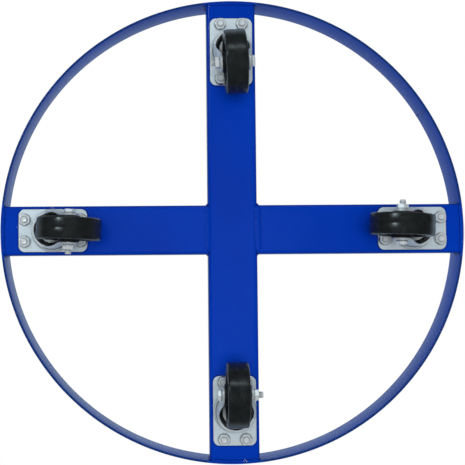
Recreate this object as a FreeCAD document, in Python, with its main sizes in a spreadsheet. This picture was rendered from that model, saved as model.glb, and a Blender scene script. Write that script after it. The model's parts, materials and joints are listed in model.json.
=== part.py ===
"""Drum trolley: a steel ring with a cross of channel bars, carried on four swivel castors.

Millimetres. +Z is up, the wheels stand on Z = 0, and the origin lies on the floor under the ring's centre.
The long bar runs along Y. Each castor is modelled once, out along +X from its own swivel axis, and its
wheel trails back towards the middle of the trolley.
"""
import FreeCAD, Part
import math
import os
import re

import Sketcher

Vector = FreeCAD.Vector

# Driving dimensions: every value here can be set by itself.
DRIVING = {
    # Ring of flat bar on edge
    "ring_outer_diameter": 600,
    "ring_thickness": 3,
    "ring_height": 50,
    "ring_edge_round": 0.6,
    "ring_seam_angle": -32,
    "ring_seam_radius": 1.2,
    # Channel bars, web down
    "bar_wall": 3,
    "bar_flange_height": 30,
    "bar_inner_bend": 1.5,
    "bar_side_margin": 4.25,
    "bar_end_gap": 0.3,
    "weld_leg": 3.5,
    "weld_sink": 0.6,
    "weld_spacing": 0.3,
    "weld_ring_gap": 0.2,
    # Wheel
    "wheel_diameter": 80,
    "tread_width": 26.5,
    "tread_edge_round": 1.4,
    "tyre_depth": 11,
    "tyre_bond_gap": 0.05,
    "rim_thickness": 5,
    "rim_inset": 1.25,
    "web_thickness": 8,
    "hub_wall": 7,
    "hub_stand_out": 2.75,
    "hub_side_gap": 0.5,
    "rib_thickness": 3,
    "rib_count": 6,
    "rib_inset": 3,
    # Axle
    "axle_tube_wall": 1.85,
    "axle_tube_play": 0.15,
    "axle_running_gap": 0.06,
    "axle_bolt_tail": 5.5,
    # Hexagon bolts and nuts
    "bolt_diameter": 8,
    "bolt_hole_play": 0.25,
    "thread_gap": 0.05,
    "hex_wall": 2.5,
    "hex_chamfer_slope": 0.577,
    "nut_height": 6.5,
    "head_height": 5.3,
    "mount_bolt_tail": 3.5,
    # Fork
    "trail": 27,
    "fork_sheet": 2.5,
    "crown_flare": 5,
    "crown_edge_round": 2.8,
    "crown_rear_trim": 4,
    "skirt_depth": 15,
    "leg_front_knee": 8,
    "leg_blend_radius": 15,
    "leg_end_radius": 11,
    "wheel_crown_gap": 12,
    # Degrees that each castor stands swivelled, from its wheel lying straight towards the middle
    "right_swing": 2.5,
    "rear_swing": 0,
    "left_swing": 2.5,
    "front_swing": -3,
    # Swivel head
    "kingpin_diameter": 10,
    "kingpin_fit_gap": 0.05,
    "kingpin_crown_gap": 1,
    "kingpin_head_reach": 3.5,
    "kingpin_head_height": 3.5,
    "kingpin_head_chamfer": 1.5,
    "kingpin_rivet_reach": 3,
    "kingpin_rivet_recess": 0.5,
    "race_depth": 1,
    "ball_play": 0.25,
    "ball_spacing": 0.9,
    "upper_ball_diameter": 5,
    "upper_race_inset": 7,
    "lower_ball_diameter": 4,
    "lower_race_radius": 12,
    "cup_thickness": 2,
    "cup_rim_reach": 5,
    "cup_rim_wall": 1.5,
    "cup_rim_gap": 0.5,
    "cup_edge_round": 1.2,
    # Top plate
    "plate_dish_margin": 0.9,
    "plate_thickness": 3,
    "plate_corner_radius": 8,
    "plate_edge_round": 0.6,
    "plate_ring_gap": 21.2,
    "dish_drop": 2.5,
    "dish_slope": 0.6,
    "lip_gap": 0.8,
    "lip_wall": 1.2,
    "lip_clearance": 0.5,
    "nut_swing_gap": 4.5,
    "bolt_end_margin": 8,
    "bolt_side_margin": 13.5,
    "slot_stretch": 2.5,
    # Room that a cutting outline runs past the solid that it cuts
    "cut_past": 5,
}

# Sizes that follow from the driving dimensions, in the order in which they depend on each other.
DERIVED = {
    "wheel_radius": "wheel_diameter / 2",
    "bolt_radius": "bolt_diameter / 2",
    "bolt_hole_radius": "bolt_radius + bolt_hole_play",
    "hex_half_flat": "bolt_radius + hex_wall",
    "hex_corner": "2 * hex_half_flat / sqrt(3)",
    "hex_shoulder": "hex_corner / 2",
    "hex_cut_reach": "hex_corner + cut_past",
    "hex_cut_drop": "(hex_cut_reach - hex_half_flat) * hex_chamfer_slope",
    # Wheel, measured from its own centre
    "axle_tube_bore": "bolt_radius + axle_tube_play",
    "axle_tube_radius": "axle_tube_bore + axle_tube_wall",
    "hub_bore_radius": "axle_tube_radius + axle_running_gap",
    "hub_radius": "axle_tube_radius + hub_wall",
    "hub_half": "tread_width / 2 + hub_stand_out",
    "web_half": "web_thickness / 2",
    "rim_outer_radius": "wheel_radius - tyre_depth",
    "rim_inner_radius": "rim_outer_radius - rim_thickness",
    "rim_half": "tread_width / 2 - rim_inset",
    "tread_half": "tread_width / 2",
    "tyre_inner_radius": "rim_outer_radius + tyre_bond_gap",
    "rib_width": "2 * (rim_half - rib_inset)",
    "rib_start": "hub_radius - rib_thickness / 2",
    "rib_end": "rim_inner_radius + rim_thickness / 2",
    "rib_half": "rib_thickness / 2",
    # Fork, in plan about the swivel axis
    "fork_inner_half": "hub_half + hub_side_gap",
    "leg_outer": "fork_inner_half + fork_sheet",
    "crown_radius": "leg_outer + crown_flare",
    "crown_inner_radius": "crown_radius - fork_sheet",
    "leg_inner_blend": "leg_blend_radius + fork_sheet",
    "crown_rear": "crown_radius - crown_rear_trim",
    "leg_reach": "trail + leg_end_radius + cut_past",
    "slot_reach": "leg_reach + cut_past",
    # Heights, from the floor upwards
    "leg_low": "wheel_radius - leg_end_radius - cut_past",
    "crown_bottom": "wheel_diameter + wheel_crown_gap",
    "crown_top": "crown_bottom + fork_sheet",
    "fork_height": "crown_top - leg_low",
    "fork_hollow": "crown_bottom - leg_low",
    "skirt_bottom": "crown_bottom - skirt_depth",
    "upper_ball_radius": "upper_ball_diameter / 2",
    "upper_ball_centre": "crown_top - race_depth + upper_ball_radius",
    "upper_race_cut": "upper_ball_radius + ball_play",
    "dish_bottom": "crown_top + upper_ball_diameter - 2 * race_depth",
    "dish_top": "dish_bottom + plate_thickness",
    "plate_bottom": "dish_bottom + dish_drop",
    "mount_height": "plate_bottom + plate_thickness",
    "ring_top": "mount_height + ring_height",
    "web_top": "mount_height + bar_wall",
    "flange_top": "mount_height + bar_flange_height",
    "lower_ball_radius": "lower_ball_diameter / 2",
    "lower_ball_centre": "crown_bottom + race_depth - lower_ball_radius",
    "lower_race_cut": "lower_ball_radius + ball_play",
    "cup_face": "crown_bottom - lower_ball_diameter + 2 * race_depth",
    "cup_bottom": "cup_face - cup_thickness",
    "cup_rim_top": "crown_bottom - cup_rim_gap",
    # Swivel head, radii
    "upper_race_radius": "crown_radius - upper_race_inset",
    "cup_radius": "lower_race_radius + cup_rim_reach",
    "cup_inner_radius": "cup_radius - cup_rim_wall",
    "kingpin_radius": "kingpin_diameter / 2",
    "kingpin_bore_radius": "kingpin_radius + kingpin_fit_gap",
    "kingpin_crown_hole": "kingpin_radius + kingpin_crown_gap",
    "kingpin_head_radius": "kingpin_radius + kingpin_head_reach",
    "kingpin_head_flat": "kingpin_head_radius - kingpin_head_chamfer",
    "kingpin_head_bottom": "cup_bottom - kingpin_head_height",
    "kingpin_head_edge": "kingpin_head_bottom + kingpin_head_chamfer",
    "kingpin_rivet_radius": "kingpin_radius + kingpin_rivet_reach",
    "kingpin_rivet_top": "mount_height - kingpin_rivet_recess",
    "upper_ball_count": "floor(2 * pi * upper_race_radius / (upper_ball_diameter + ball_spacing))",
    "lower_ball_count": "floor(2 * pi * lower_race_radius / (lower_ball_diameter + ball_spacing))",
    # Top plate
    "lip_inner_radius": "crown_radius + lip_gap",
    "lip_outer_radius": "lip_inner_radius + lip_wall",
    "lip_bottom": "crown_top + lip_clearance",
    "dish_base_radius": "lip_outer_radius + dish_slope",
    "recess_radius": "dish_base_radius - plate_thickness",
    "recess_floor_radius": "recess_radius - dish_slope",
    "plate_side": "dish_base_radius + plate_dish_margin",
    "bolt_out": "crown_radius + hex_corner + nut_swing_gap",
    "bolt_side": "plate_side - bolt_side_margin",
    "plate_half": "bolt_out + bolt_end_margin",
    "slot_half": "slot_stretch / 2",
    "nut_bottom": "plate_bottom - nut_height",
    "mount_bolt_end": "nut_bottom - mount_bolt_tail",
    "mount_bolt_length": "web_top - mount_bolt_end",
    "mount_head_top": "web_top + head_height",
    # Axle bolt, along Y from the wheel's centre
    "axle_bolt_length": "2 * leg_outer + nut_height + axle_bolt_tail",
    "axle_head_end": "leg_outer + head_height",
    "axle_nut_end": "leg_outer + nut_height",
    # Frame in plan
    "ring_outer_radius": "ring_outer_diameter / 2",
    "ring_inner_radius": "ring_outer_radius - ring_thickness",
    "bar_half": "plate_side + bar_side_margin",
    "bar_inner_half": "bar_half - bar_wall",
    "bar_outer_bend": "bar_inner_bend + bar_wall",
    "bar_corner": "sqrt(ring_inner_radius * ring_inner_radius - bar_half * bar_half)",
    "bar_end": "bar_corner - bar_end_gap",
    "long_bar_length": "2 * bar_end",
    "short_bar_length": "bar_end - bar_half",
    "castor_radius": "ring_inner_radius - plate_ring_gap - plate_half",
    "bolt_inner_row": "castor_radius - bolt_out",
    "bolt_outer_row": "castor_radius + bolt_out",
    # Welds
    "weld_bottom": "mount_height + weld_sink",
    "bar_weld_half": "bar_half - weld_leg - weld_spacing",
    "corner_weld_bottom": "mount_height + bar_outer_bend",
    "corner_weld_length": "bar_flange_height - bar_outer_bend - weld_sink",
    "seam_length": "ring_height - 2 * weld_sink",
}

# Castors by the side that they stand on, with the quarter turns that carry them there from +X.
CASTORS = {"right": 0, "rear": 1, "left": 2, "front": 3}
QUARTER_TURNS = ((1, 0), (0, 1), (-1, 0), (0, -1))
HANDS = {"near": 1, "far": -1}

# Lengths that differ by less than this are taken as equal.
SAME = 1e-6

doc = FreeCAD.newDocument("drum_trolley")
nodes = []


# Sheets and formulas

def fill_sheet(name, cells):
    """Make a sheet with one named cell to a row."""
    sheet = doc.addObject("Spreadsheet::Sheet", name)
    for row, (alias, content) in enumerate(cells.items(), start=1):
        sheet.set(f"A{row}", alias.replace("_", " "))
        sheet.set(f"B{row}", content)
        sheet.setAlias(f"B{row}", alias)
    return sheet


def with_sheet(text, own_sheet=None):
    """Put each size's sheet in front of its name, apart from names in the sheet that holds the formula."""
    def name_in_sheet(match):
        word = match.group()
        if word in DRIVING:
            return "Dimensions." + word
        if word in DERIVED and own_sheet != "Derived":
            return "Derived." + word
        return word
    return re.sub(r"[a-z_]+", name_in_sheet, text)


dimensions = fill_sheet("Dimensions", {alias: str(value) for alias, value in DRIVING.items()})
doc.recompute()
derived = fill_sheet("Derived", {alias: "=" + with_sheet(text, "Derived") for alias, text in DERIVED.items()})
doc.recompute()


def size(alias):
    """The present value of a size, from whichever sheet holds it."""
    return float(dimensions.get(alias) if alias in DRIVING else derived.get(alias))


def bind(thing, target, text):
    """Tie a property or a sketch constraint to a formula in the sizes' names."""
    thing.setExpression(target, with_sheet(text))


# Bodies, sketches and features

def new_body(node):
    body = doc.addObject("PartDesign::Body", node)
    body.Label = node
    nodes.append(body)
    return body


def place(body, quarter, reach="0"):
    """Turn a body about Z by quarter turns and move it out along the turned X."""
    cosine, sine = QUARTER_TURNS[quarter]
    body.Placement = FreeCAD.Placement(Vector(), FreeCAD.Rotation(Vector(0, 0, 1), 90 * quarter))
    bind(body, "Placement.Base.x", f"{cosine} * ({reach})")
    bind(body, "Placement.Base.y", f"{sine} * ({reach})")


def origin_part(body, role):
    return next(part for part in body.Origin.OriginFeatures if part.Role == role)


def new_sketch(body, name, plane, offset=None):
    sketch = body.newObject("Sketcher::SketchObject", name)
    sketch.AttachmentSupport = [(origin_part(body, plane), "")]
    sketch.MapMode = "FlatFace"
    if offset:
        bind(sketch, "AttachmentOffset.Base.z", offset)
    return sketch


def hold(sketch, geometry, point, across, up):
    """Hold a point of a sketch at a place given by two formulas, starting from where it is drawn."""
    drawn = sketch.getPoint(geometry, point)
    for kind, text, start in (("DistanceX", across, drawn.x), ("DistanceY", up, drawn.y)):
        number = sketch.addConstraint(Sketcher.Constraint(kind, -1, 1, geometry, point, start))
        bind(sketch, f"Constraints[{number}]", text)


def give_radius(sketch, geometry, text):
    number = sketch.addConstraint(Sketcher.Constraint("Radius", geometry, sketch.Geometry[geometry].Radius))
    bind(sketch, f"Constraints[{number}]", text)


def add_polygon(sketch, corners):
    """Closed outline through corners given as pairs of formulas; the lines start out round a unit circle."""
    first = sketch.GeometryCount
    count = len(corners)
    turns = [2 * math.pi * number / count for number in range(count)]
    starts = [Vector(math.cos(turn), math.sin(turn), 0) for turn in turns]
    for number in range(count):
        sketch.addGeometry(Part.LineSegment(starts[number], starts[(number + 1) % count]), False)
    for number, (across, up) in enumerate(corners):
        following = first + (number + 1) % count
        sketch.addConstraint(Sketcher.Constraint("Coincident", first + number, 2, following, 1))
        hold(sketch, first + number, 1, across, up)


def add_circle(sketch, across, up, radius):
    circle = sketch.addGeometry(Part.Circle(Vector(0, 0, 0), Vector(0, 0, 1), 1.0), False)
    give_radius(sketch, circle, radius)
    hold(sketch, circle, 3, across, up)


def polygon(body, name, plane, corners, offset=None):
    sketch = new_sketch(body, name, plane, offset)
    add_polygon(sketch, corners)
    return sketch


def rectangle(low_across, low_up, high_across, high_up):
    return [(low_across, low_up), (high_across, low_up), (high_across, high_up), (low_across, high_up)]


def circles(body, name, plane, places, radius, offset=None):
    sketch = new_sketch(body, name, plane, offset)
    for across, up in places:
        add_circle(sketch, across, up, radius)
    return sketch


def hexagon():
    return [("hex_half_flat", "hex_shoulder"), ("0", "hex_corner"), ("-hex_half_flat", "hex_shoulder"),
            ("-hex_half_flat", "-hex_shoulder"), ("0", "-hex_corner"), ("hex_half_flat", "-hex_shoulder")]


def pad(body, name, sketch, length, symmetric=False, backwards=False):
    feature = body.newObject("PartDesign::Pad", name)
    feature.Profile = sketch
    feature.SideType = "Symmetric" if symmetric else "One side"
    feature.Reversed = backwards
    bind(feature, "Length", length)
    return feature


def cut_through(body, name, sketch):
    """Cut a sketch right through the body, both ways."""
    feature = body.newObject("PartDesign::Pocket", name)
    feature.Profile = sketch
    feature.Type = "ThroughAll"
    feature.SideType = "Symmetric"
    return feature


def cut_up(body, name, sketch, depth):
    """Cut a sketch upwards, along its plane's normal."""
    feature = body.newObject("PartDesign::Pocket", name)
    feature.Profile = sketch
    feature.Reversed = True
    bind(feature, "Length", depth)
    return feature


def turn(body, kind, name, sketch, axis="V_Axis"):
    """A full turn of a sketch: kind is Revolution to add or Groove to cut."""
    feature = body.newObject("PartDesign::" + kind, name)
    feature.Profile = sketch
    feature.ReferenceAxis = (sketch, [axis])
    feature.Angle = 360
    return feature


def round_edges(body, name, base, wanted, radius):
    """Fillet those edges of a feature that a test picks out."""
    doc.recompute()
    edges = [f"Edge{number}" for number, edge in enumerate(base.Shape.Edges, start=1) if wanted(edge)]
    feature = body.newObject("PartDesign::Fillet", name)
    feature.Base = (base, edges)
    bind(feature, "Radius", radius)
    return feature


def is_circle(edge, radius):
    return isinstance(edge.Curve, Part.Circle) and math.isclose(edge.Curve.Radius, size(radius))


def lies_at_height(edge, height):
    box = edge.BoundBox
    return math.isclose(box.ZMin, size(height), abs_tol=SAME) and box.ZLength < SAME


# Frame

def make_ring():
    body = new_body("ring")
    section = polygon(body, "ring_section", "XZ_Plane",
                      rectangle("ring_inner_radius", "mount_height", "ring_outer_radius", "ring_top"))
    hoop = turn(body, "Revolution", "ring_hoop", section)
    round_edges(body, "ring_edges", hoop, lambda edge: isinstance(edge.Curve, Part.Circle), "ring_edge_round")
    return body


def channel_section():
    """Channel with its web down and its flanges up, from the web's outer left corner."""
    return [("-bar_half", "mount_height"), ("bar_half", "mount_height"), ("bar_half", "flange_top"),
            ("bar_inner_half", "flange_top"), ("bar_inner_half", "web_top"), ("-bar_inner_half", "web_top"),
            ("-bar_inner_half", "flange_top"), ("-bar_half", "flange_top")]


def bend_channel(body, name, channel, sideways):
    """Round the channel's two bends; sideways gives an edge's distance from the channel's middle plane."""
    def is_bend(edge, half, height):
        return lies_at_height(edge, height) and math.isclose(sideways(edge), size(half), abs_tol=SAME)
    outside = round_edges(body, name + "_outer_bends", channel,
                          lambda edge: is_bend(edge, "bar_half", "mount_height"), "bar_outer_bend")
    return round_edges(body, name + "_inner_bends", outside,
                       lambda edge: is_bend(edge, "bar_inner_half", "web_top"), "bar_inner_bend")


def make_long_bar():
    body = new_body("long_bar")
    section = polygon(body, "long_bar_section", "XZ_Plane", channel_section())
    channel = pad(body, "long_bar_channel", section, "long_bar_length", symmetric=True)
    bend_channel(body, "long_bar", channel,
                 lambda edge: abs(edge.CenterOfMass.x) if edge.BoundBox.XLength < SAME else math.inf)
    rows = [end + row for end in ("", "-") for row in ("bolt_inner_row", "bolt_outer_row")]
    places = [(side, row) for row in rows for side in ("bolt_side", "-bolt_side")]
    holes = circles(body, "long_bar_hole_places", "XY_Plane", places, "bolt_hole_radius")
    cut_through(body, "long_bar_holes", holes)
    return body


def make_short_bar(side):
    body = new_body(side + "_short_bar")
    name = side + "_short_bar"
    section = polygon(body, name + "_section", "YZ_Plane", channel_section(), offset="bar_half")
    channel = pad(body, name + "_channel", section, "short_bar_length")
    bend_channel(body, name, channel,
                 lambda edge: abs(edge.CenterOfMass.y) if edge.BoundBox.YLength < SAME else math.inf)
    places = [(row, place_across) for row in ("bolt_inner_row", "bolt_outer_row")
              for place_across in ("bolt_side", "-bolt_side")]
    holes = circles(body, name + "_hole_places", "XY_Plane", places, "bolt_hole_radius")
    cut_through(body, name + "_holes", holes)
    place(body, CASTORS[side])
    return body


def weld_block(name, low, lengths):
    """Box of weld metal from its low corner, given as formulas."""
    block = doc.addObject("Part::Box", name)
    for axis, text in zip("xyz", low):
        bind(block, "Placement.Base." + axis, text)
    for side, text in zip(("Length", "Width", "Height"), lengths):
        bind(block, side, text)
    return block


def weld_rod(name, across, along, height, radius, length):
    """Upright rod of weld metal, given as formulas."""
    rod = doc.addObject("Part::Cylinder", name)
    for axis, text in zip("xyz", (across, along, height)):
        bind(rod, "Placement.Base." + axis, text)
    bind(rod, "Radius", radius)
    bind(rod, "Height", length)
    return rod


def make_welds(ring, long_bar, short_bars):
    """Beads at the bars' ends, in the ring's and the cross's corners, and down the ring's seam.

    Each starts as a plain block or rod of metal and is then cut back to the faces that it joins.
    """
    raw = []
    for side, quarter in CASTORS.items():
        cosine, sine = QUARTER_TURNS[quarter]
        end = weld_block(side + "_end_weld", ("0", "0", "weld_bottom"),
                         ("ring_thickness + bar_end_gap", "2 * bar_weld_half", "bar_wall - weld_sink"))
        end.Placement.Rotation = FreeCAD.Rotation(Vector(0, 0, 1), 90 * quarter)
        bind(end, "Placement.Base.x", f"{cosine} * bar_end + {sine} * bar_weld_half")
        bind(end, "Placement.Base.y", f"{sine} * bar_end - {cosine} * bar_weld_half")
        raw.append(end)
        for hand_name, hand in HANDS.items():
            raw.append(weld_rod(f"{side}_{hand_name}_corner_weld",
                                f"{cosine} * bar_corner - {hand * sine} * bar_half",
                                f"{sine} * bar_corner + {hand * cosine} * bar_half",
                                "corner_weld_bottom", "weld_leg", "corner_weld_length"))
    for across_name, low in (("near", "bar_half - bar_outer_bend"), ("far", "-bar_half")):
        raw.append(weld_block(f"{across_name}_groove_weld", (low, "-bar_weld_half", "weld_bottom"),
                              ("bar_outer_bend", "2 * bar_weld_half", "bar_outer_bend - weld_sink")))
        for along_name, along in HANDS.items():
            raw.append(weld_rod(f"{across_name}_{along_name}_cross_weld",
                                f"{HANDS[across_name]} * bar_half", f"{along} * bar_half",
                                "corner_weld_bottom", "weld_leg", "corner_weld_length"))
    raw.append(weld_rod("ring_seam_weld", "ring_inner_radius * cos(ring_seam_angle)",
                        "ring_inner_radius * sin(ring_seam_angle)", "weld_bottom",
                        "ring_seam_radius", "seam_length"))
    metal = doc.addObject("Part::Compound", "weld_metal")
    metal.Links = raw
    joined = doc.addObject("Part::Compound", "welded_pieces")
    joined.Links = [ring, long_bar, *short_bars]
    inside = doc.addObject("Part::Cylinder", "ring_inside")
    bind(inside, "Radius", "ring_inner_radius - weld_ring_gap")
    bind(inside, "Height", "ring_top")
    within = doc.addObject("Part::Common", "weld_metal_in_ring")
    within.Base = metal
    within.Tool = inside
    for name, half_across, half_along in (("long_channel_inside", "bar_inner_half", "ring_inner_radius"),
                                          ("short_channel_inside", "ring_inner_radius", "bar_inner_half")):
        hollow = weld_block(name, (f"-{half_across}", f"-{half_along}", "web_top"),
                            (f"2 * {half_across}", f"2 * {half_along}", "bar_flange_height"))
        outside = doc.addObject("Part::Cut", "weld_metal_off_" + name)
        outside.Base = within
        outside.Tool = hollow
        within = outside
    welds = doc.addObject("Part::Cut", "frame_welds")
    welds.Base = within
    welds.Tool = joined
    welds.Label = "frame_welds"
    nodes.append(welds)


# Fasteners

def chamfer_hexagon(body, name, plane, top, downwards):
    """Cut the hexagon's corners to a cone at one end; downwards is the sign of the cut's drop."""
    corners = [("hex_half_flat", top), ("hex_cut_reach", top),
               ("hex_cut_reach", f"{top} - ({downwards}) * hex_cut_drop")]
    return turn(body, "Groove", name, polygon(body, name + "_section", plane, corners))


def spread_to_castors(body, name):
    """Repeat one fastener over a plate's four corners, and then over the four castors."""
    doc.recompute()
    corners = body.newObject("PartDesign::LinearPattern", name + "_corners")
    corners.TransformMode = "Whole shape"
    corners.Direction = (origin_part(body, "X_Axis"), [""])
    corners.Direction2 = (origin_part(body, "Y_Axis"), [""])
    corners.Occurrences = 2
    corners.Occurrences2 = 2
    bind(corners, "Length", "2 * bolt_out")
    bind(corners, "Length2", "2 * bolt_side")
    body.Tip = corners
    doc.recompute()
    castors = body.newObject("PartDesign::PolarPattern", name + "_castors")
    castors.TransformMode = "Whole shape"
    castors.Axis = (origin_part(body, "Z_Axis"), [""])
    castors.Angle = 360
    castors.Occurrences = len(CASTORS)
    body.Tip = castors


def fastener_sketch(body, name, corners, height):
    """Hexagon round the first mounting bolt's place."""
    at_bolt = [(f"bolt_inner_row + ({across})", f"({up}) - bolt_side") for across, up in corners]
    return polygon(body, name, "XY_Plane", at_bolt, offset=height)


def fastener_chamfer(body, name, top, downwards):
    """Chamfer of the hexagon at the first mounting bolt's place."""
    sketch = new_sketch(body, name + "_section", "XZ_Plane", offset="bolt_side")
    add_polygon(sketch, [("bolt_inner_row + hex_half_flat", top), ("bolt_inner_row + hex_cut_reach", top),
                         ("bolt_inner_row + hex_cut_reach", f"{top} - ({downwards}) * hex_cut_drop")])
    axis = sketch.addGeometry(Part.LineSegment(Vector(0, 0, 0), Vector(0, 1, 0)), True)
    hold(sketch, axis, 1, "bolt_inner_row", "0")
    hold(sketch, axis, 2, "bolt_inner_row", top)
    return turn(body, "Groove", name, sketch, axis="Axis0")


def make_mounting_bolts():
    """Bolts with their heads inside the channels and their ends below the castor plates."""
    body = new_body("mounting_bolts")
    head = fastener_sketch(body, "mounting_head_section", hexagon(), "web_top")
    pad(body, "mounting_head", head, "head_height")
    fastener_chamfer(body, "mounting_head_chamfer", "mount_head_top", 1)
    shank = circles(body, "mounting_shank_section", "XY_Plane", [("bolt_inner_row", "-bolt_side")],
                    "bolt_radius", offset="mount_bolt_end")
    pad(body, "mounting_shank", shank, "mount_bolt_length")
    spread_to_castors(body, "mounting_bolt")


def make_mounting_nuts():
    body = new_body("mounting_nuts")
    flats = fastener_sketch(body, "mounting_nut_section", hexagon(), "nut_bottom")
    pad(body, "mounting_nut", flats, "nut_height")
    fastener_chamfer(body, "mounting_nut_chamfer", "nut_bottom", -1)
    bore = circles(body, "mounting_nut_bore_section", "XY_Plane", [("bolt_inner_row", "-bolt_side")],
                   "bolt_radius + thread_gap", offset="nut_bottom")
    cut_through(body, "mounting_nut_bore", bore)
    spread_to_castors(body, "mounting_nut")


# Castor pieces; those of the swivel are modelled about the swivel axis

def at_swivel(body, side):
    """Stand a piece that is fixed to the frame at its castor's swivel axis."""
    place(body, CASTORS[side], reach="castor_radius")


def swing_out(body, side, back="0", height="0"):
    """Stand a piece that swivels at its castor's angle, some way back from the swivel axis."""
    cosine, sine = QUARTER_TURNS[CASTORS[side]]
    heading = f"{90 * CASTORS[side]} + {side}_swing"
    body.Placement.Rotation = FreeCAD.Rotation(Vector(0, 0, 1), 90 * CASTORS[side] + size(side + "_swing"))
    bind(body, "Placement.Rotation.Angle", heading)
    bind(body, "Placement.Base.x", f"{cosine} * castor_radius - ({back}) * cos({heading})")
    bind(body, "Placement.Base.y", f"{sine} * castor_radius - ({back}) * sin({heading})")
    bind(body, "Placement.Base.z", height)


def at_axle(body, side):
    swing_out(body, side, back="trail", height="wheel_radius")


def make_top_plate(side):
    """Pressed plate: flat round its edge, and dished down over the fork with a lip round the swivel."""
    name = side + "_top_plate"
    body = new_body(name)
    corners = rectangle("-plate_half", "-plate_side", "plate_half", "plate_side")
    outline = polygon(body, name + "_outline", "XY_Plane", corners, offset="plate_bottom")
    sheet = pad(body, name + "_sheet", outline, "plate_thickness")
    rounded = round_edges(body, name + "_corners", sheet,
                          lambda edge: edge.BoundBox.ZLength > size("plate_thickness") / 2,
                          "plate_corner_radius")
    round_edges(body, name + "_edges", rounded, lambda edge: lies_at_height(edge, "plate_bottom"),
                "plate_edge_round")
    dish = polygon(body, name + "_dish_section", "XZ_Plane",
                   [("0", "plate_bottom + plate_edge_round"),
                    ("dish_base_radius", "plate_bottom + plate_edge_round"),
                    ("dish_base_radius", "plate_bottom"), ("lip_outer_radius", "dish_bottom"),
                    ("lip_outer_radius", "lip_bottom"), ("lip_inner_radius", "lip_bottom"),
                    ("lip_inner_radius", "dish_bottom"), ("0", "dish_bottom")])
    turn(body, "Revolution", name + "_dish", dish)
    recess = polygon(body, name + "_recess_section", "XZ_Plane",
                     [("0", "mount_height"), ("recess_radius", "mount_height"),
                      ("recess_floor_radius", "dish_top"), ("0", "dish_top")])
    turn(body, "Groove", name + "_recess", recess)
    race = circles(body, name + "_race_section", "XZ_Plane", [("upper_race_radius", "upper_ball_centre")],
                   "upper_race_cut")
    turn(body, "Groove", name + "_race", race)
    bore = circles(body, name + "_bore_section", "XY_Plane", [("0", "0")], "kingpin_bore_radius")
    cut_through(body, name + "_bore", bore)
    slots = new_sketch(body, name + "_slot_places", "XY_Plane")
    for end in (1, -1):
        for hand in (1, -1):
            add_slot(slots, f"{end} * bolt_out", f"{hand} * bolt_side")
    cut_through(body, name + "_slots", slots)
    at_swivel(body, side)


def add_slot(sketch, across, up):
    """Bolt slot along the plate, centred on a bolt: two lines and two half circles."""
    first = sketch.GeometryCount
    half, radius = size("slot_half"), size("bolt_hole_radius")
    ends = ((half, -math.pi / 2, math.pi / 2), (-half, math.pi / 2, 3 * math.pi / 2))
    for centre, start, stop in ends:
        circle = Part.Circle(Vector(centre, 0, 0), Vector(0, 0, 1), radius)
        sketch.addGeometry(Part.ArcOfCircle(circle, start, stop), False)
    sketch.addGeometry(Part.LineSegment(Vector(half, radius, 0), Vector(-half, radius, 0)), False)
    sketch.addGeometry(Part.LineSegment(Vector(-half, -radius, 0), Vector(half, -radius, 0)), False)
    right, left, top, bottom = range(first, first + 4)
    for one, one_end, other, other_end in ((right, 2, top, 1), (top, 2, left, 1), (left, 2, bottom, 1),
                                           (bottom, 2, right, 1)):
        sketch.addConstraint(Sketcher.Constraint("Tangent", one, one_end, other, other_end))
    give_radius(sketch, right, "bolt_hole_radius")
    hold(sketch, right, 3, f"{across} + slot_half", up)
    hold(sketch, left, 3, f"{across} - slot_half", up)


def tangent_point(outside, centre, radius, hand):
    """Where a line from a point touches a circle, on the side that hand picks."""
    gap = outside.sub(centre)
    angle = math.atan2(gap.y, gap.x) + hand * math.acos(radius / gap.Length)
    return angle, centre.add(Vector(radius * math.cos(angle), radius * math.sin(angle), 0))


def add_leg_profile(sketch):
    """Fork from the side: crown and skirt, and legs that taper to a round end about the axle."""
    front_top = Vector(size("crown_radius"), size("crown_top"), 0)
    front_low = Vector(size("crown_radius"), size("skirt_bottom"), 0)
    knee = Vector(size("leg_front_knee"), size("skirt_bottom"), 0)
    rear_top = Vector(-size("crown_rear"), size("crown_top"), 0)
    axle = Vector(-size("trail"), size("wheel_radius"), 0)
    radius = size("leg_end_radius")
    front_angle, front_touch = tangent_point(knee, axle, radius, -1)
    rear_angle, rear_touch = tangent_point(rear_top, axle, radius, 1)
    first = sketch.GeometryCount
    path = [front_top, front_low, knee, front_touch]
    for start, stop in zip(path, path[1:]):
        sketch.addGeometry(Part.LineSegment(start, stop), False)
    circle = Part.Circle(axle, Vector(0, 0, 1), radius)
    sketch.addGeometry(Part.ArcOfCircle(circle, rear_angle, front_angle + 2 * math.pi), False)
    sketch.addGeometry(Part.LineSegment(rear_touch, rear_top), False)
    sketch.addGeometry(Part.LineSegment(rear_top, front_top), False)
    front, skirt, front_edge, end, rear_edge, top = range(first, first + 6)
    for one, other in ((front, skirt), (skirt, front_edge), (rear_edge, top), (top, front)):
        sketch.addConstraint(Sketcher.Constraint("Coincident", one, 2, other, 1))
    sketch.addConstraint(Sketcher.Constraint("Tangent", front_edge, 2, end, 2))
    sketch.addConstraint(Sketcher.Constraint("Tangent", rear_edge, 1, end, 1))
    hold(sketch, front, 1, "crown_radius", "crown_top")
    hold(sketch, skirt, 1, "crown_radius", "skirt_bottom")
    hold(sketch, front_edge, 1, "leg_front_knee", "skirt_bottom")
    hold(sketch, top, 1, "-crown_rear", "crown_top")
    hold(sketch, end, 3, "-trail", "wheel_radius")
    give_radius(sketch, end, "leg_end_radius")


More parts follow.
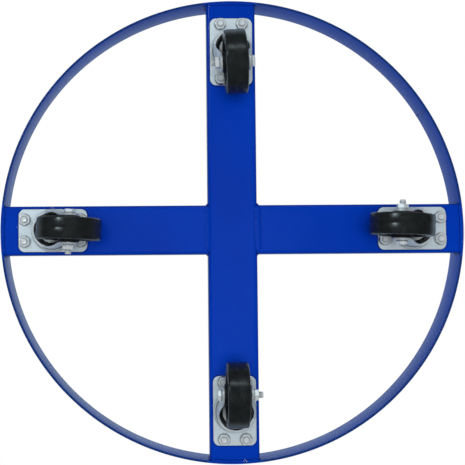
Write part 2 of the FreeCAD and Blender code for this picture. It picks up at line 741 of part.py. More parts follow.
def fork_plan(body, name, crown, blend, leg, reach, height):
    """Fork from above: round at the crown, and drawn in through a blend on each side to straight legs."""
    sketch = new_sketch(body, name, "XY_Plane", offset=height)
    crown_radius, blend_radius, leg_side = size(crown), size(blend), size(leg)
    blend_back = math.sqrt((crown_radius + blend_radius) ** 2 - (leg_side + blend_radius) ** 2)
    meeting = math.pi - math.atan2(leg_side + blend_radius, blend_back)
    up = Vector(0, 0, 1)
    crown_circle = Part.Circle(Vector(), up, crown_radius)
    arc = sketch.addGeometry(Part.ArcOfCircle(crown_circle, -meeting, meeting), False)
    sketch.addConstraint(Sketcher.Constraint("Coincident", arc, 3, -1, 1))
    give_radius(sketch, arc, crown)
    end_line = sketch.addGeometry(Part.LineSegment(Vector(-size(reach), leg_side, 0),
                                                   Vector(-size(reach), -leg_side, 0)), False)
    for hand, arc_end, line_end in ((1, 2, 1), (-1, 1, 2)):
        centre = Vector(-blend_back, hand * (leg_side + blend_radius), 0)
        at_crown = hand * (meeting - math.pi)
        at_leg = -hand * math.pi / 2
        span = (at_leg, at_crown) if hand > 0 else (at_crown, at_leg)
        blend_circle = Part.Circle(centre, up, blend_radius)
        curve = sketch.addGeometry(Part.ArcOfCircle(blend_circle, *span), False)
        line = sketch.addGeometry(Part.LineSegment(Vector(-blend_back, hand * leg_side, 0),
                                                   Vector(-size(reach), hand * leg_side, 0)), False)
        curve_at_leg, curve_at_crown = (1, 2) if hand > 0 else (2, 1)
        sketch.addConstraint(Sketcher.Constraint("Tangent", arc, arc_end, curve, curve_at_crown))
        sketch.addConstraint(Sketcher.Constraint("Tangent", curve, curve_at_leg, line, 1))
        sketch.addConstraint(Sketcher.Constraint("Coincident", line, 2, end_line, line_end))
        give_radius(sketch, curve, blend)
        hold(sketch, line, 2, f"-{reach}", f"{hand} * {leg}")
    return sketch


def make_fork(side):
    """Pressed fork: a crown over the wheel with a skirt in front and a leg down each side."""
    name = side + "_fork"
    body = new_body(name)
    plan = fork_plan(body, name + "_plan", "crown_radius", "leg_blend_radius", "leg_outer",
                     "leg_reach", "leg_low")
    block = pad(body, name + "_block", plan, "fork_height")

    def is_crown_edge(edge):
        at_end = edge.BoundBox.XLength < SAME
        return lies_at_height(edge, "crown_top") and not at_end

    round_edges(body, name + "_crown_edge", block, is_crown_edge, "crown_edge_round")
    hollow = fork_plan(body, name + "_hollow_plan", "crown_inner_radius", "leg_inner_blend",
                       "fork_inner_half", "slot_reach", "leg_low")
    cut_up(body, name + "_hollow", hollow, "fork_hollow")
    waste = new_sketch(body, name + "_side", "XZ_Plane")
    add_leg_profile(waste)
    add_polygon(waste, rectangle("-slot_reach - cut_past", "leg_low - cut_past",
                                 "crown_radius + cut_past", "crown_top + cut_past"))
    cut_through(body, name + "_side_cut", waste)
    axle = circles(body, name + "_axle_section", "XZ_Plane", [("-trail", "wheel_radius")], "bolt_hole_radius")
    cut_through(body, name + "_axle_holes", axle)
    bore = circles(body, name + "_bore_section", "XY_Plane", [("0", "0")], "kingpin_crown_hole")
    cut_through(body, name + "_bore", bore)
    for level, race, centre, cut in (("upper", "upper_race_radius", "upper_ball_centre", "upper_race_cut"),
                                     ("lower", "lower_race_radius", "lower_ball_centre", "lower_race_cut")):
        section = circles(body, f"{name}_{level}_race_section", "XZ_Plane", [(race, centre)], cut)
        turn(body, "Groove", f"{name}_{level}_race", section)
    swing_out(body, side)


def make_kingpin(side):
    """Pin with a head under the lower cup and a riveted end in the plate's recess."""
    name = side + "_kingpin"
    body = new_body(name)
    section = polygon(body, name + "_section", "XZ_Plane",
                      [("0", "kingpin_head_bottom"), ("kingpin_head_flat", "kingpin_head_bottom"),
                       ("kingpin_head_radius", "kingpin_head_edge"), ("kingpin_head_radius", "cup_bottom"),
                       ("kingpin_radius", "cup_bottom"), ("kingpin_radius", "dish_top"),
                       ("kingpin_rivet_radius", "dish_top"), ("kingpin_radius", "kingpin_rivet_top"),
                       ("0", "kingpin_rivet_top")])
    turn(body, "Revolution", name + "_pin", section)
    at_swivel(body, side)


def make_race_cup(side):
    """Lower cup: a ring with an upturned rim, which holds the lower balls up against the crown."""
    name = side + "_race_cup"
    body = new_body(name)
    section = polygon(body, name + "_section", "XZ_Plane",
                      [("kingpin_bore_radius", "cup_bottom"), ("cup_radius", "cup_bottom"),
                       ("cup_radius", "cup_rim_top"), ("cup_inner_radius", "cup_rim_top"),
                       ("cup_inner_radius", "cup_face"), ("kingpin_bore_radius", "cup_face")])
    cup = turn(body, "Revolution", name + "_ring", section)
    round_edges(body, name + "_edge", cup,
                lambda edge: is_circle(edge, "cup_radius") and lies_at_height(edge, "cup_bottom"),
                "cup_edge_round")
    race = circles(body, name + "_race_section", "XZ_Plane", [("lower_race_radius", "lower_ball_centre")],
                   "lower_race_cut")
    turn(body, "Groove", name + "_race", race)
    at_swivel(body, side)


def make_balls(side, level):
    """Ring of balls about the swivel axis, at the upper or the lower race."""
    name = f"{side}_{level}_balls"
    body = new_body(name)
    race, centre, radius = f"{level}_race_radius", f"{level}_ball_centre", f"{level}_ball_radius"
    across, up, reach = size(race), size(centre), size(radius)
    section = new_sketch(body, name + "_section", "XZ_Plane")
    circle = Part.Circle(Vector(across, up, 0), Vector(0, 0, 1), reach)
    arc = section.addGeometry(Part.ArcOfCircle(circle, -math.pi / 2, math.pi / 2), False)
    chord = Part.LineSegment(Vector(across, up + reach, 0), Vector(across, up - reach, 0))
    line = section.addGeometry(chord, False)
    section.addConstraint(Sketcher.Constraint("Coincident", arc, 2, line, 1))
    section.addConstraint(Sketcher.Constraint("Coincident", arc, 1, line, 2))
    section.addConstraint(Sketcher.Constraint("PointOnObject", arc, 3, line))
    section.addConstraint(Sketcher.Constraint("Vertical", line))
    give_radius(section, arc, radius)
    hold(section, arc, 3, race, centre)
    ball = turn(body, "Revolution", name + "_ball", section, axis="Edge2")
    doc.recompute()
    ring = body.newObject("PartDesign::PolarPattern", name + "_ring")
    ring.Originals = [ball]
    ring.Axis = (origin_part(body, "Z_Axis"), [""])
    ring.Angle = 360
    bind(ring, "Occurrences", f"{level}_ball_count")
    body.Tip = ring
    swing_out(body, side)


# Wheel and axle pieces, modelled about the wheel's centre with the axle along Y

def make_axle_bolt(side):
    """Bolt through the legs and the tube, with its head on the side away from the nut."""
    name = side + "_axle_bolt"
    body = new_body(name)
    head = polygon(body, name + "_head_section", "XZ_Plane", hexagon(), offset="-leg_outer")
    pad(body, name + "_head", head, "head_height", backwards=True)
    chamfer_hexagon(body, name + "_chamfer", "XY_Plane", "axle_head_end", 1)
    shank = circles(body, name + "_shank_section", "XZ_Plane", [("0", "0")], "bolt_radius",
                    offset="-leg_outer")
    pad(body, name + "_shank", shank, "axle_bolt_length")
    at_axle(body, side)


def make_axle_nut(side):
    name = side + "_axle_nut"
    body = new_body(name)
    flats = polygon(body, name + "_section", "XZ_Plane", hexagon(), offset="leg_outer")
    pad(body, name + "_hexagon", flats, "nut_height")
    chamfer_hexagon(body, name + "_chamfer", "XY_Plane", "-axle_nut_end", -1)
    bore = circles(body, name + "_bore_section", "XZ_Plane", [("0", "0")], "bolt_radius + thread_gap")
    cut_through(body, name + "_bore", bore)
    at_axle(body, side)


def make_axle_tube(side):
    """Tube that the bolt clamps between the legs, and that the wheel turns on."""
    name = side + "_axle_tube"
    body = new_body(name)
    section = polygon(body, name + "_section", "XY_Plane",
                      rectangle("axle_tube_bore", "-fork_inner_half", "axle_tube_radius", "fork_inner_half"))
    turn(body, "Revolution", name + "_wall", section)
    at_axle(body, side)


def make_wheel_core(side):
    """Hub, web and rim in one, with ribs from the hub to the rim."""
    name = side + "_wheel_core"
    body = new_body(name)
    lower = [("hub_bore_radius", "-hub_half"), ("hub_radius", "-hub_half"), ("hub_radius", "-web_half"),
             ("rim_inner_radius", "-web_half"), ("rim_inner_radius", "-rim_half"),
             ("rim_outer_radius", "-rim_half")]
    upper = [(radius, along.lstrip("-")) for radius, along in reversed(lower)]
    section = polygon(body, name + "_section", "XY_Plane", lower + upper)
    turn(body, "Revolution", name + "_rim", section)
    rib = polygon(body, name + "_rib_section", "XZ_Plane",
                  rectangle("rib_start", "-rib_half", "rib_end", "rib_half"))
    ribs = pad(body, name + "_rib", rib, "rib_width", symmetric=True)
    doc.recompute()
    spokes = body.newObject("PartDesign::PolarPattern", name + "_ribs")
    spokes.Originals = [ribs]
    spokes.Axis = (origin_part(body, "Y_Axis"), [""])
    spokes.Angle = 360
    bind(spokes, "Occurrences", "rib_count")
    body.Tip = spokes
    at_axle(body, side)


def make_tyre(side):
    """Solid tyre round the rim, flat across the tread and rounded at its edges."""
    name = side + "_tyre"
    body = new_body(name)
    section = polygon(body, name + "_section", "XY_Plane",
                      rectangle("tyre_inner_radius", "-tread_half", "wheel_radius", "tread_half"))
    band = turn(body, "Revolution", name + "_band", section)
    round_edges(body, name + "_edges", band, lambda edge: is_circle(edge, "wheel_radius"), "tread_edge_round")
    at_axle(body, side)


def make_castor(side):
    make_top_plate(side)
    make_kingpin(side)
    make_race_cup(side)
    make_balls(side, "upper")
    make_balls(side, "lower")
    make_fork(side)
    make_axle_bolt(side)
    make_axle_nut(side)
    make_axle_tube(side)
    make_wheel_core(side)
    make_tyre(side)


def check_document():
    """Stop if any object failed, or if a piece has no valid solid."""
    doc.recompute()
    failed = [thing.Name for thing in doc.Objects if {"Invalid", "Error"} & set(thing.State)]
    broken = [node.Label for node in nodes
              if node.Shape.isNull() or not node.Shape.isValid() or not node.Shape.Solids]
    if failed or broken:
        raise RuntimeError(f"failed objects {failed}, broken pieces {broken}")


def write_pieces():
    os.makedirs("parts", exist_ok=True)
    for node in nodes:
        node.Shape.exportStep(f"parts/{node.Label}.step")
        print(f"{node.Label}: {len(node.Shape.Solids)} solids, {node.Shape.Volume:.0f} mm3")


trolley_ring = make_ring()
trolley_long_bar = make_long_bar()
trolley_short_bars = [make_short_bar(side) for side in ("left", "right")]
make_welds(trolley_ring, trolley_long_bar, trolley_short_bars)
make_mounting_bolts()
make_mounting_nuts()
for castor_side in CASTORS:
    make_castor(castor_side)
check_document()
write_pieces()
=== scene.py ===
"""Looks of the drum trolley: a blue steel ring with a cross of channel bars, on four swivel castors.

The part's own frame: +Z up, wheels on Z = 0, long bar along Y. Pieces are worked out in millimetres and made in
metres; lengths in the materials and on the stage are metres. The camera looks up from below, as in the photo.
"""
import json
import math
import random

import bmesh
import bpy
from mathutils import Matrix, Vector


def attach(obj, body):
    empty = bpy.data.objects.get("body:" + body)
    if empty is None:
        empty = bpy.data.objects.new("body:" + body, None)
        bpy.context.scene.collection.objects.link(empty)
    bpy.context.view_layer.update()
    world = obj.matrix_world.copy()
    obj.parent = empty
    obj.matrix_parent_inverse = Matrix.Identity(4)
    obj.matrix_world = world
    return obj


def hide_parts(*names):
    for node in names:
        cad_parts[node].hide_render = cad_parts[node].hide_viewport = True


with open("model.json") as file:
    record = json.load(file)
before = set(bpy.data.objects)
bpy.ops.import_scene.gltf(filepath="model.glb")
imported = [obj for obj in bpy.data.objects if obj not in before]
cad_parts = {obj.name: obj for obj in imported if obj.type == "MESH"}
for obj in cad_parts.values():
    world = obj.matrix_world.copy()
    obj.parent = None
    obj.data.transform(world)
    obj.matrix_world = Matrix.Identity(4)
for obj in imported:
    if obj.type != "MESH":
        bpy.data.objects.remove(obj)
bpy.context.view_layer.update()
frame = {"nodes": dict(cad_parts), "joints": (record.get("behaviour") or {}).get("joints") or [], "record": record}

MM = 0.001
DOWN = Vector((0, 0, -1))
SIDES = {"right": (1, 0), "rear": (0, 1), "left": (-1, 0), "front": (0, -1)}
JOINTS = {joint["name"]: joint for joint in frame["joints"]}
scatter = random.Random(7)

# Sizes of the solids that the finer pieces stand for, in millimetres
RING_INNER_RADIUS, RING_OUTER_RADIUS, RING_EDGE = 297.0, 300.0, 1.2
RING_BOTTOM, RING_TOP = 103.0, 153.0
WEB_TOP, FLANGE_TOP = 106.0, 133.0
BAR_HALF, BAR_BEND, BAR_END = 31.75, 4.5, 295.0
SEAM_ANGLE = math.radians(-31.4)
BOLT_OUT, BOLT_SIDE = 36.006, 14.0
BOLT_RADIUS, THREAD_PITCH, THREAD_DEPTH = 4.0, 1.25, 0.62
HEX_HALF_FLAT, HEAD_HEIGHT = 6.5, 5.3
MOUNT_BOLT_LENGTH, MOUNT_THREAD_LENGTH = 16.0, 10.0
AXLE_BOLT_LENGTH, AXLE_THREAD_LENGTH = 50.0, 16.0
LEG_OUTER = 19.0
WHEEL_RADIUS, TREAD_HALF, TYRE_INNER_RADIUS = 40.0, 13.25, 29.05


# Materials

SPOT_RIM, SPOT_CORE = 0.16, 0.06              # a round spot's rim and full core, in cells from its middle
EDGE_STARTS, EDGE_FULL = 0.99, 0.90           # cosines between a face and its rounded edge
FOOT_REACH, FOOT_FULL = 0.0016, 0.4           # painted shade at the ring's foot: its reach, and the share that is full
FOOT_FADE = 0.006                             # how softly it ends beside the bars
MIX_FIRST, MIX_SECOND, MIX_RESULT = 6, 7, 2   # colour sockets of a mix node

# On the next line: dust under the coat, then painted shade in narrow hollows, then painted shade at the ring's foot.
NIB_BLUE, PAINTED_SHADE_BLUE, FOOT_SHADE_BLUE = (0.010, 0.075, 0.50), (0.0005, 0.010, 0.120), (0.005, 0.034, 0.195)
# On the next line: grease deepened by painted shade, painted shade in narrow hollows, and a painted highlight along
# sharp edges.
GREASE_AND_SHADE, PAINTED_SHADE_GREY, EDGE_HIGHLIGHT_ZINC = (0.006, 0.007, 0.008), (0.06, 0.07, 0.08), (0.90, 0.94, 0.96)
DUST = (0.10, 0.10, 0.10)


class Shader:
    """A principled material with short calls for its noise, ramps and bumps."""

    def __init__(self, name):
        self.material = bpy.data.materials.new(name)
        self.material.use_nodes = True
        self.tree = self.material.node_tree
        self.surface = self.tree.nodes["Principled BSDF"]
        self.places = self.tree.nodes.new("ShaderNodeTexCoord").outputs["Object"]

    def link(self, source, target):
        self.tree.links.new(source, target)

    def set(self, **values):
        """Constant values on the shader's own sockets; words of a socket's name are joined by _."""
        for name, value in values.items():
            self.surface.inputs[name.replace("_", " ")].default_value = value

    def noise(self, scale, detail=3.0, roughness=0.5, stretch=None):
        """Noise at so many features to the metre, drawn out along an axis by stretch."""
        node = self.tree.nodes.new("ShaderNodeTexNoise")
        node.inputs["Scale"].default_value = scale
        node.inputs["Detail"].default_value = detail
        node.inputs["Roughness"].default_value = roughness
        places = self.places
        if stretch:
            mapping = self.tree.nodes.new("ShaderNodeMapping")
            mapping.inputs["Scale"].default_value = stretch
            self.link(places, mapping.inputs["Vector"])
            places = mapping.outputs["Vector"]
        self.link(places, node.inputs["Vector"])
        return node.outputs["Fac"]

    def cells(self, scale, threshold):
        """Sparse round spots: 1 inside the few cells whose random value passes the threshold."""
        node = self.tree.nodes.new("ShaderNodeTexVoronoi")
        node.inputs["Scale"].default_value = scale
        self.link(self.places, node.inputs["Vector"])
        near = self.remap(node.outputs["Distance"], SPOT_RIM, SPOT_CORE)
        split = self.tree.nodes.new("ShaderNodeSeparateColor")
        self.link(node.outputs["Color"], split.inputs["Color"])
        chosen = self.remap(split.outputs["Red"], threshold, threshold + 0.01)
        return self.math("MULTIPLY", near, chosen)

    def math(self, operation, first, second=0.0):
        """An operation on two values, each a number or a socket."""
        node = self.tree.nodes.new("ShaderNodeMath")
        node.operation = operation
        for socket, value in zip(node.inputs, (first, second)):
            if isinstance(value, float):
                socket.default_value = value
            else:
                self.link(value, socket)
        return node.outputs["Value"]

    def remap(self, value, low, high, new_low=0.0, new_high=1.0):
        """From low..high to new_low..new_high, held at both ends."""
        node = self.tree.nodes.new("ShaderNodeMapRange")
        self.link(value, node.inputs["Value"])
        for socket, number in zip(("From Min", "From Max", "To Min", "To Max"), (low, high, new_low, new_high)):
            node.inputs[socket].default_value = number
        return node.outputs["Result"]

    def ramp(self, value, stops):
        """Colours along a value: stops are (place, colour) pairs."""
        node = self.tree.nodes.new("ShaderNodeValToRGB")
        self.link(value, node.inputs["Fac"])
        elements = node.color_ramp.elements
        while len(elements) < len(stops):
            elements.new(0.5)
        for element, (place, colour) in zip(elements, stops):
            element.position = place
            element.color = (*colour, 1.0)
        return node.outputs["Color"]

    def mix(self, factor, first, second):
        """From the first colour to the second one as the factor goes from 0 to 1."""
        node = self.tree.nodes.new("ShaderNodeMix")
        node.data_type = "RGBA"
        self.link(factor, node.inputs["Factor"])
        for number, value in ((MIX_FIRST, first), (MIX_SECOND, second)):
            if isinstance(value, tuple):
                node.inputs[number].default_value = (*value, 1.0)
            else:
                self.link(value, node.inputs[number])
        return node.outputs[MIX_RESULT]

    def colour(self, socket):
        self.link(socket, self.surface.inputs["Base Color"])

    def rough(self, socket):
        self.link(socket, self.surface.inputs["Roughness"])

    def rounded(self, radius):
        """Soft highlight along sharp edges, as if they were rounded by this radius."""
        node = self.tree.nodes.new("ShaderNodeBevel")
        node.samples = 4
        node.inputs["Radius"].default_value = radius
        return node.outputs["Normal"]

    def edges(self, radius):
        """1 along sharp edges, fading to 0 at about this radius from them."""
        geometry = self.tree.nodes.new("ShaderNodeNewGeometry")
        compare = self.tree.nodes.new("ShaderNodeVectorMath")
        compare.operation = "DOT_PRODUCT"
        self.link(self.rounded(radius), compare.inputs[0])
        self.link(geometry.outputs["Normal"], compare.inputs[1])
        return self.remap(compare.outputs["Value"], EDGE_STARTS, EDGE_FULL)

    def hollows(self, reach):
        """From 0 deep in a hollow to 1 on a face that nothing stands over within this reach."""
        node = self.tree.nodes.new("ShaderNodeAmbientOcclusion")
        node.samples = 8
        node.inputs["Distance"].default_value = reach
        return node.outputs["AO"]

    def low_edge(self, level, reach, spared):
        """1 at the foot of a piece that stands on this level, but 0 within the spared distance of the X and Y axes."""
        axes = self.tree.nodes.new("ShaderNodeSeparateXYZ")
        self.link(self.places, axes.inputs["Vector"])
        foot = self.remap(axes.outputs["Z"], level + reach, level + FOOT_FULL * reach)
        across, along = (self.math("ABSOLUTE", axes.outputs[name]) for name in ("X", "Y"))
        clear = self.remap(self.math("MINIMUM", across, along), spared, spared + FOOT_FADE)
        return self.math("MULTIPLY", foot, clear)

    def bumps(self, layers, normal=None):
        """Stacked bumps: layers are (height, strength, distance)."""
        for height, strength, distance in layers:
            node = self.tree.nodes.new("ShaderNodeBump")
            node.inputs["Strength"].default_value = strength
            node.inputs["Distance"].default_value = distance
            self.link(height, node.inputs["Height"])
            if normal:
                self.link(normal, node.inputs["Normal"])
            normal = node.outputs["Normal"]
        self.link(normal, self.surface.inputs["Normal"])


def make_paint(name, blues, foot=None):
    """Blue powder coat: orange peel, faint clouds in the blue, a few nibs of dust under the coat, painted shade in
    narrow hollows and, where a foot colour is given, painted shade along the ring's foot.
    """
    paint = Shader(name)
    clouds = paint.noise(7.0, detail=4.0, roughness=0.55)
    tones = paint.ramp(clouds, list(zip((0.30, 0.55, 0.75), blues)))
    nibs = paint.cells(220.0, threshold=0.96)
    colour = paint.mix(nibs, tones, NIB_BLUE)
    # Painted shade: the coat darkens towards deep blue in narrow hollows and along joints, where shade falls.
    painted_shade = paint.remap(paint.hollows(0.003), 0.60, 0.92)
    colour = paint.mix(painted_shade, PAINTED_SHADE_BLUE, colour)
    # Painted shade: a darker blue along the ring's foot.
    if foot:
        colour = paint.mix(paint.low_edge(RING_BOTTOM * MM, FOOT_REACH, BAR_HALF * MM), colour, foot)
    paint.colour(colour)
    paint.rough(paint.remap(paint.noise(60.0), 0.3, 0.7, 0.17, 0.25))
    paint.set(Specular_IOR_Level=0.10)
    peel, fine_peel = paint.noise(420.0, detail=2.0), paint.noise(1500.0, detail=2.0)
    paint.bumps([(peel, 0.10, 0.00004), (fine_peel, 0.06, 0.00001), (nibs, 0.4, 0.0002)], paint.rounded(0.0007))
    return paint.material


def make_zinc(name, tones, streaks, rough, shade_from=None, grease_and_shade_from=None):
    """Bright zinc plate: cloudy blue-grey, drawn lines, dull and bright patches, a painted highlight along sharp
    edges, and, from the given openness down, painted shade in narrow hollows or dark grease with painted shade in wide
    hollows."""
    zinc = Shader(name)
    low, high = tones
    clouds = zinc.noise(70.0, detail=5.0, roughness=0.6)
    lines = zinc.noise(60.0, detail=4.0, roughness=0.6, stretch=streaks)
    tone = zinc.math("ADD", zinc.math("MULTIPLY", clouds, 0.65), zinc.math("MULTIPLY", lines, 0.35))
    colour = zinc.ramp(tone, [(0.36, low), (0.64, high)])
    # Dark grease in the castor's hollows, deepened by painted shade: the more closed in a place is, the darker, with a
    # few smears.
    if grease_and_shade_from:
        smears = zinc.math("MULTIPLY", zinc.noise(120.0, detail=4.0), 0.25)
        openness = zinc.math("ADD", zinc.hollows(0.022), smears)
        colour = zinc.mix(zinc.remap(openness, grease_and_shade_from - 0.10, grease_and_shade_from + 0.16), GREASE_AND_SHADE, colour)
    else:
        # Painted shade: grey darkening in narrow hollows, round nuts and along joints, where shade falls.
        colour = zinc.mix(zinc.remap(zinc.hollows(0.004), shade_from, shade_from + 0.35), PAINTED_SHADE_GREY, colour)
    # Painted highlight: a pale line along sharp edges, as a rounded edge would catch the light.
    edge_highlight = zinc.math("MULTIPLY", zinc.edges(0.0009), 0.75)
    zinc.colour(zinc.mix(edge_highlight, colour, EDGE_HIGHLIGHT_ZINC))
    zinc.rough(zinc.remap(clouds, 0.3, 0.7, *rough))
    zinc.set(Metallic=0.35)
    zinc.bumps([(lines, 0.10, 0.00004), (zinc.noise(900.0), 0.12, 0.00003)], zinc.rounded(0.0005))
    return zinc.material


def make_bearing_steel(name, dark, pale):
    """Polished steel under a thin, uneven film of oil."""
    steel = Shader(name)
    film = steel.noise(400.0)
    steel.colour(steel.ramp(film, [(0.35, dark), (0.65, pale)]))
    steel.rough(steel.remap(film, 0.3, 0.7, 0.10, 0.24))
    steel.set(Metallic=1.0)
    steel.bumps([(film, 0.05, 0.00002)])
    return steel.material


def make_black(name, dark, pale, rough, grain, dust):
    """Black moulding: fine grain, uneven sheen and a trace of pale dust."""
    black = Shader(name)
    patches = black.noise(90.0, detail=4.0, roughness=0.6)
    tone = black.ramp(patches, [(0.35, dark), (0.70, pale)])
    specks = black.cells(260.0, threshold=dust)
    black.colour(black.mix(specks, tone, DUST))
    black.rough(black.remap(black.noise(45.0, detail=4.0), 0.3, 0.7, *rough))
    black.set(Specular_IOR_Level=0.36)
    black.bumps([(black.noise(grain), 0.25, 0.00004), (patches, 0.08, 0.0002)], black.rounded(0.0006))
    return black.material


PAINT = make_paint("blue_powder_coat", ((0.0005, 0.032, 0.375), (0.0006, 0.039, 0.435), (0.0009, 0.045, 0.475)))
# The ring's coat is a lighter, greener copy of the bars' coat: painted light standing in for the light on the ring's
# slanting wall, with painted shade at its foot.
RING_PAINT_LIT_COPY = make_paint("ring_coat_with_painted_light_and_shade",
                        ((0.0006, 0.049, 0.42), (0.0007, 0.058, 0.48), (0.0010, 0.065, 0.52)), foot=FOOT_SHADE_BLUE)
CASTOR_ZINC = make_zinc("castor_zinc_plate", tones=((0.68, 0.80, 0.87), (0.80, 0.90, 0.96)),
                        streaks=(1.0, 9.0, 9.0), rough=(0.36, 0.52), shade_from=0.48)
FORK_ZINC = make_zinc("fork_zinc_plate", tones=((0.66, 0.78, 0.85), (0.80, 0.90, 0.96)),
                      streaks=(9.0, 9.0, 1.0), rough=(0.26, 0.40), grease_and_shade_from=0.66)
# The race cup is glossier than the fork, and its lighter zinc is a painted highlight for the bright arcs inside the
# castor's head.
CUP_ZINC_LIGHTENED = make_zinc("cup_zinc_plate_painted_highlight", tones=((0.80, 0.90, 0.94), (0.92, 0.97, 0.99)),
                     streaks=(9.0, 9.0, 1.0), rough=(0.14, 0.24), grease_and_shade_from=0.52)
BOLT_ZINC = make_zinc("fastener_zinc_plate", tones=((0.72, 0.81, 0.86), (0.88, 0.94, 0.97)),
                      streaks=(6.0, 6.0, 1.0), rough=(0.28, 0.42), shade_from=0.51)
BEARING = make_bearing_steel("polished_bearing_steel", dark=(0.52, 0.53, 0.55), pale=(0.70, 0.71, 0.73))
RUBBER = make_black("satin_black_rubber", dark=(0.0095, 0.0110, 0.0115), pale=(0.0160, 0.0185, 0.0195),
                    rough=(0.20, 0.30), grain=1300.0, dust=0.994)
PLASTIC = make_black("black_polypropylene", dark=(0.0085, 0.0092, 0.0100), pale=(0.0120, 0.0130, 0.0140),
                     rough=(0.34, 0.48), grain=900.0, dust=0.99)
FINISHES = {"frame_paint": PAINT, "castor_zinc": CASTOR_ZINC, "fastener_zinc": BOLT_ZINC, "bearing_steel": BEARING,
            "wheel_plastic": PLASTIC, "tyre_rubber": RUBBER}

for entry in frame["record"]["subparts"]:
    node = frame["nodes"][entry["node"]]
    finish = FINISHES[entry["material_slot"]]
    if node.name.endswith("_race_cup"):
        finish = CUP_ZINC_LIGHTENED
    elif node.name.endswith(("_fork", "_axle_tube")):
        finish = FORK_ZINC
    node.data.materials.clear()
    node.data.materials.append(finish)


# Meshes

class Surface:
    """Vertices in millimetres and faces of one piece, gathered part by part."""

    def __init__(self):
        self.points = []
        self.faces = []

    def add(self, points, faces, matrix=None):
        start = len(self.points)
        self.points += [matrix @ Vector(point) if matrix else Vector(point) for point in points]
        self.faces += [tuple(start + corner for corner in face) for face in faces]

    def piece(self, name, body, slot, stands_for=(), sharp=38.0, finish=None):
        """Make the object, let it ride on a body and stand for CAD nodes."""
        mesh = bpy.data.meshes.new(name)
        mesh.from_pydata([point * MM for point in self.points], [], self.faces)
        work = bmesh.new()
        work.from_mesh(mesh)
        bmesh.ops.recalc_face_normals(work, faces=work.faces)
        work.to_mesh(mesh)
        work.free()
        mesh.shade_smooth()
        mesh.set_sharp_from_angle(angle=math.radians(sharp))
        mesh.materials.append(finish or FINISHES[slot])
        made = bpy.data.objects.new(name, mesh)
        bpy.context.scene.collection.objects.link(made)
        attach(made, body)
        if stands_for:
            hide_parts(*stands_for)


def loft(rows):
    """Closed skin through rows of points, each a ring of the same count, with a face across each end."""
    count = len(rows[0])
    points = [point for row in rows for point in row]
    faces = []
    for here in range(0, len(points) - count, count):
        there = here + count
        for column in range(count):
            following = (column + 1) % count
            faces.append((here + column, here + following, there + following, there + column))
    faces.append(tuple(reversed(range(count))))
    faces.append(tuple(range(len(points) - count, len(points))))
    return points, faces


def spin(profile, steps):
    """Turn a closed profile of (radius, along) about the Z axis."""
    count = len(profile)
    points, faces = [], []
    for step in range(steps):
        angle = 2 * math.pi * step / steps
        points += [(radius * math.cos(angle), radius * math.sin(angle), along) for radius, along in profile]
        here, there = step * count, (step + 1) % steps * count
        for corner in range(count):
            beyond = (corner + 1) % count
            faces.append((here + corner, there + corner, there + beyond, here + beyond))
    return points, faces


def angles_round(count):
    """So many angles, evenly round a circle."""
    return [2 * math.pi * number / count for number in range(count)]


def along_axis(place, axis):
    """Matrix that takes local Z to an axis and the origin to a place, in millimetres."""
    turn = Vector((0, 0, 1)).rotation_difference(Vector(axis)).to_matrix().to_4x4()
    return Matrix.Translation(Vector(place)) @ turn


def directions(across, along):
    """Outward and sideways directions of the bar that points this way."""
    return Vector((across, along, 0)), Vector((-along, across, 0))


# Bolts, in millimetres: (radius, height over the tip) on the dished end, (height over the seat, rounding) on the
# head's six sides, (radius, depth under the top) on its dished top
BOLT_POINTS, ROWS_PER_TURN = 48, 6
BOLT_END = ((0.6, 0.2), (BOLT_RADIUS - 1.4, 0.12))
HEAD_SIDES = ((0.25, 0.55), (0.7, 0.0), (HEAD_HEIGHT - 0.75, 0.0), (HEAD_HEIGHT - 0.3, 0.6))
HEAD_TOP = ((HEX_HALF_FLAT - 0.4, 0.0), (HEX_HALF_FLAT - 1.5, 0.12), (1.0, 0.16))
SEAT_BEVEL, THREAD_RUNOUT, END_CHAMFER, CREST_STEEPNESS = 0.5, 0.6, 1.0, 1.35


def hexagon_ring(height, rounding):
    """Ring of points round the bolt's head, drawn in towards the circle inside it by rounding from 0 to 1."""
    ring = []
    for angle in angles_round(BOLT_POINTS):
        to_flat = (angle % (math.pi / 3)) - math.pi / 6
        reach = HEX_HALF_FLAT / math.cos(to_flat)
        reach += (HEX_HALF_FLAT - reach) * rounding
        ring.append((reach * math.cos(angle), reach * math.sin(angle), height))
    return ring


def circle_ring(radius, height):
    """Ring of points round the bolt's axis."""
    return [(radius * math.cos(angle), radius * math.sin(angle), height) for angle in angles_round(BOLT_POINTS)]


def thread_ring(to_end, height):
    """One row round a screw thread, drawn in towards the chamfered end of the bolt."""
    ring = []
    for number in range(BOLT_POINTS):
        turn = number / BOLT_POINTS
        phase = (height / THREAD_PITCH + turn) % 1.0
        crest = min(1.0, CREST_STEEPNESS * (1 - abs(2 * phase - 1)))
        reach = min(BOLT_RADIUS - THREAD_DEPTH * (1 - crest), BOLT_RADIUS - END_CHAMFER + to_end)
        ring.append((reach * math.cos(2 * math.pi * turn), reach * math.sin(2 * math.pi * turn), height))
    return ring


def add_bolt(surface, length, thread_length, matrix):
    """Hexagon bolt along Z: its head stands on Z = 0 and its shank hangs below, threaded at the end."""
    tip = -length
    rows = [circle_ring(radius, tip + rise) for radius, rise in BOLT_END]
    steps = int(thread_length / (THREAD_PITCH / ROWS_PER_TURN))
    for step in range(steps + 1):
        to_end = thread_length * step / steps
        rows.append(thread_ring(to_end, tip + to_end))
    rows += [circle_ring(BOLT_RADIUS, tip + thread_length + THREAD_RUNOUT), circle_ring(BOLT_RADIUS, 0.0),
             circle_ring(HEX_HALF_FLAT - SEAT_BEVEL, 0.0)]
    rows += [hexagon_ring(height, rounding) for height, rounding in HEAD_SIDES]
    rows += [circle_ring(radius, HEAD_HEIGHT - depth) for radius, depth in HEAD_TOP]
    surface.add(*loft(rows), matrix)


